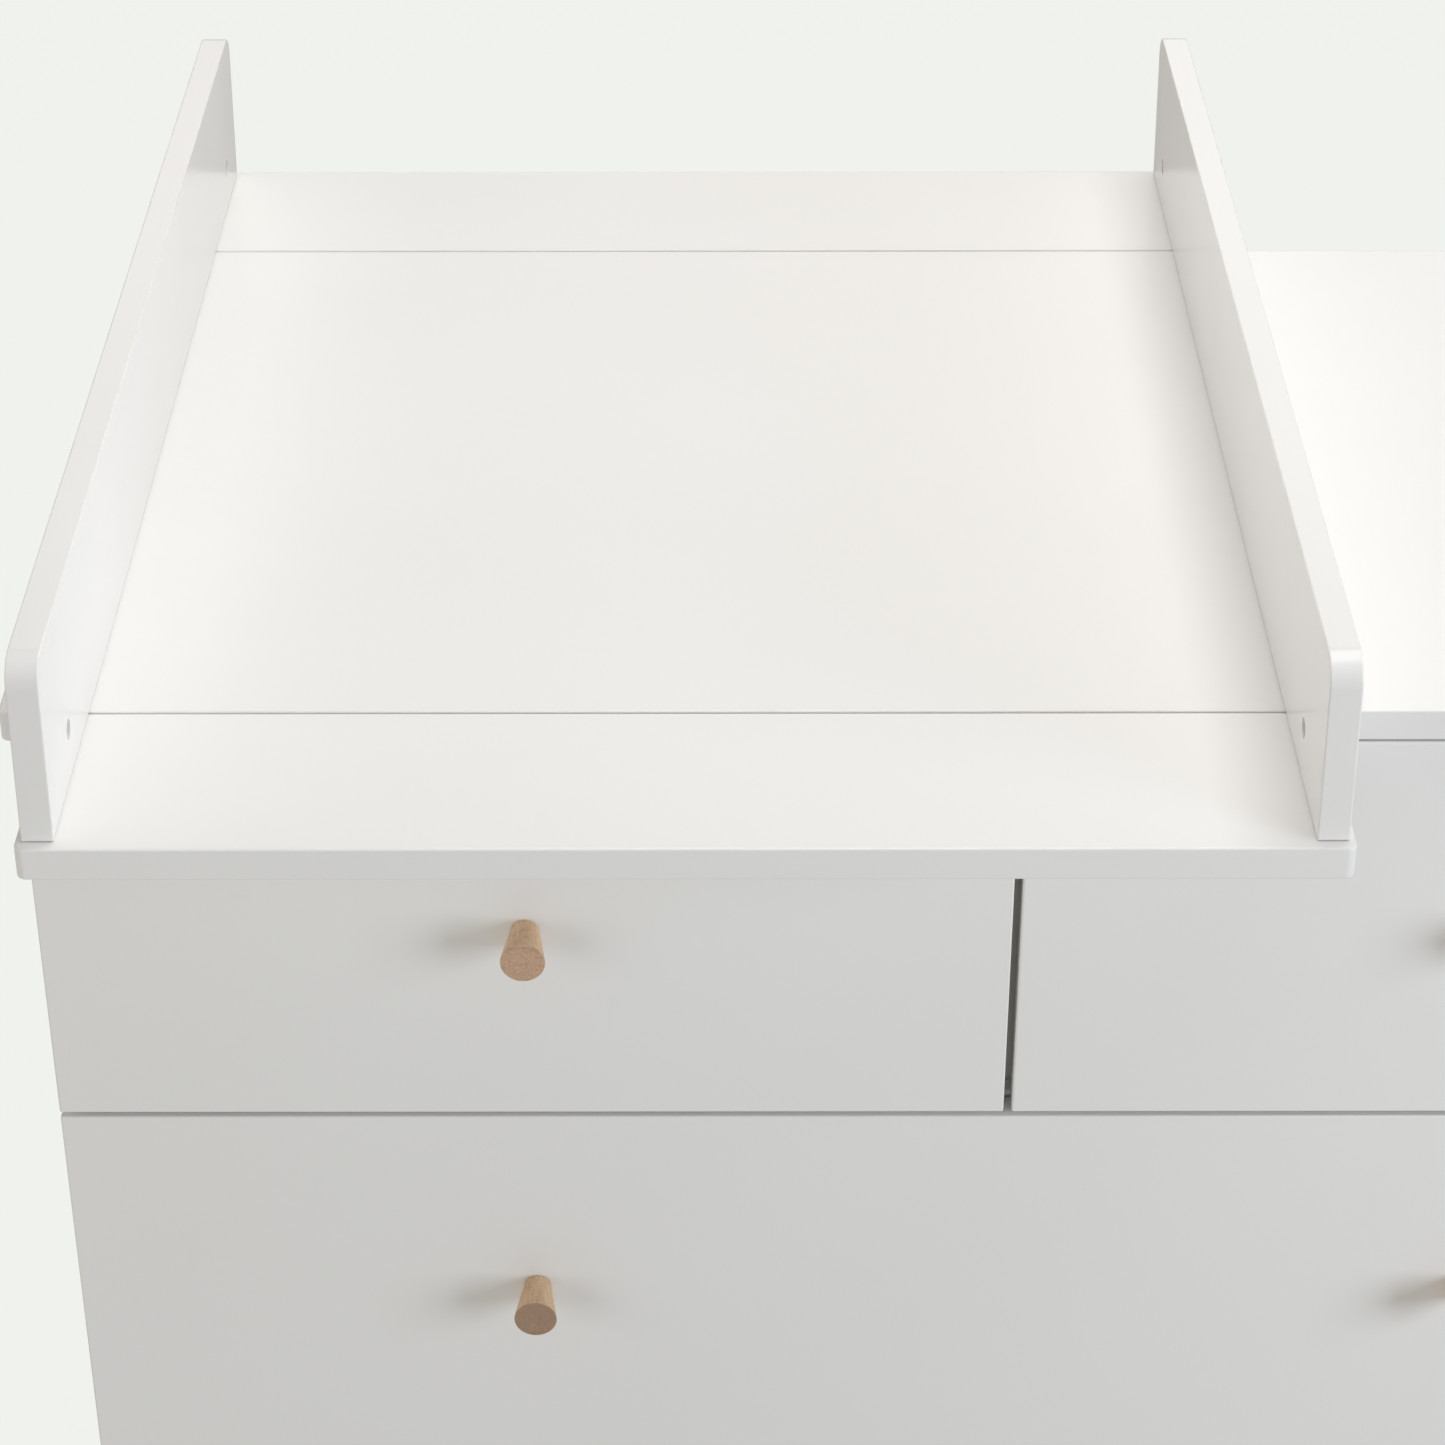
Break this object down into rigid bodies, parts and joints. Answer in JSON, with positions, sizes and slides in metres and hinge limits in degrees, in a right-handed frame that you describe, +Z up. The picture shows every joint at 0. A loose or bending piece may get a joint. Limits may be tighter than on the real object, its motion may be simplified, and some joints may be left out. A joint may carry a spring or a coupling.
{
  "type": "changing table",
  "caption": "White dresser with wooden knobs and a changing tray on top: boards widen the top to the front and rear between two upright side panels.",
  "frame": {"origin": "on the floor under the middle of the dresser", "axes": "+X along the dresser's length, to the right of someone who faces the drawers; +Y from the drawers towards the wall; +Z up"},
  "size_m": [1.059, 0.812, 0.981],
  "materials": {
    "white_lacquer": "smooth satin white lacquer on fibreboard",
    "drawer_box_board": "matt white foil on fibreboard",
    "painted_hardboard": "matt white paint on hardboard",
    "natural_beech": "turned beech, clear matt oil",
    "zinc_plated_steel": "bright zinc plating"
  },
  "bodies": {
    "cabinet": {"dresser_top": "white_lacquer", "cabinet_side_left": "white_lacquer", "cabinet_side_right": "white_lacquer", "cabinet_bottom": "white_lacquer", "middle_shelf": "white_lacquer", "lower_rail": "white_lacquer", "centre_divider": "white_lacquer", "back_panel": "painted_hardboard", "leg_front_left": "natural_beech", "leg_front_right": "natural_beech", "leg_rear_left": "natural_beech", "leg_rear_right": "natural_beech", "tray_front_board": "white_lacquer", "tray_rear_board": "white_lacquer", "tray_side_left": "white_lacquer", "tray_side_right": "white_lacquer", "barrel_nut_front_left": "zinc_plated_steel", "barrel_nut_front_right": "zinc_plated_steel", "barrel_nut_rear_left": "zinc_plated_steel", "barrel_nut_rear_right": "zinc_plated_steel", "tray_bolt_front_left": "zinc_plated_steel", "tray_bolt_front_right": "zinc_plated_steel", "tray_bolt_rear_left": "zinc_plated_steel", "tray_bolt_rear_right": "zinc_plated_steel", "tray_bracket_left": "zinc_plated_steel", "tray_bracket_right": "zinc_plated_steel", "upper_left_runner_left": "zinc_plated_steel", "upper_left_runner_right": "zinc_plated_steel", "upper_right_runner_left": "zinc_plated_steel", "upper_right_runner_right": "zinc_plated_steel", "middle_runner_left": "zinc_plated_steel", "middle_runner_right": "zinc_plated_steel", "lower_runner_left": "zinc_plated_steel", "lower_runner_right": "zinc_plated_steel"},
    "upper_left_drawer": {"upper_left_front": "white_lacquer", "upper_left_side_left": "drawer_box_board", "upper_left_side_right": "drawer_box_board", "upper_left_back": "drawer_box_board", "upper_left_bottom": "painted_hardboard", "upper_left_knob": "natural_beech"},
    "upper_right_drawer": {"upper_right_front": "white_lacquer", "upper_right_side_left": "drawer_box_board", "upper_right_side_right": "drawer_box_board", "upper_right_back": "drawer_box_board", "upper_right_bottom": "painted_hardboard", "upper_right_knob": "natural_beech"},
    "middle_drawer": {"middle_front": "white_lacquer", "middle_side_left": "drawer_box_board", "middle_side_right": "drawer_box_board", "middle_back": "drawer_box_board", "middle_bottom": "painted_hardboard", "middle_knob_left": "natural_beech", "middle_knob_right": "natural_beech"},
    "lower_drawer": {"lower_front": "white_lacquer", "lower_side_left": "drawer_box_board", "lower_side_right": "drawer_box_board", "lower_back": "drawer_box_board", "lower_bottom": "painted_hardboard", "lower_knob_left": "natural_beech", "lower_knob_right": "natural_beech"}
  },
  "joints": [
    {"name": "upper_left_slide", "type": "slide", "parent": "cabinet", "child": "upper_left_drawer", "axis": [0, -1, 0], "range_m": [0, 0.38]},
    {"name": "upper_right_slide", "type": "slide", "parent": "cabinet", "child": "upper_right_drawer", "axis": [0, -1, 0], "range_m": [0, 0.38]},
    {"name": "middle_slide", "type": "slide", "parent": "cabinet", "child": "middle_drawer", "axis": [0, -1, 0], "range_m": [0, 0.38]},
    {"name": "lower_slide", "type": "slide", "parent": "cabinet", "child": "lower_drawer", "axis": [0, -1, 0], "range_m": [0, 0.38]}
  ]
}
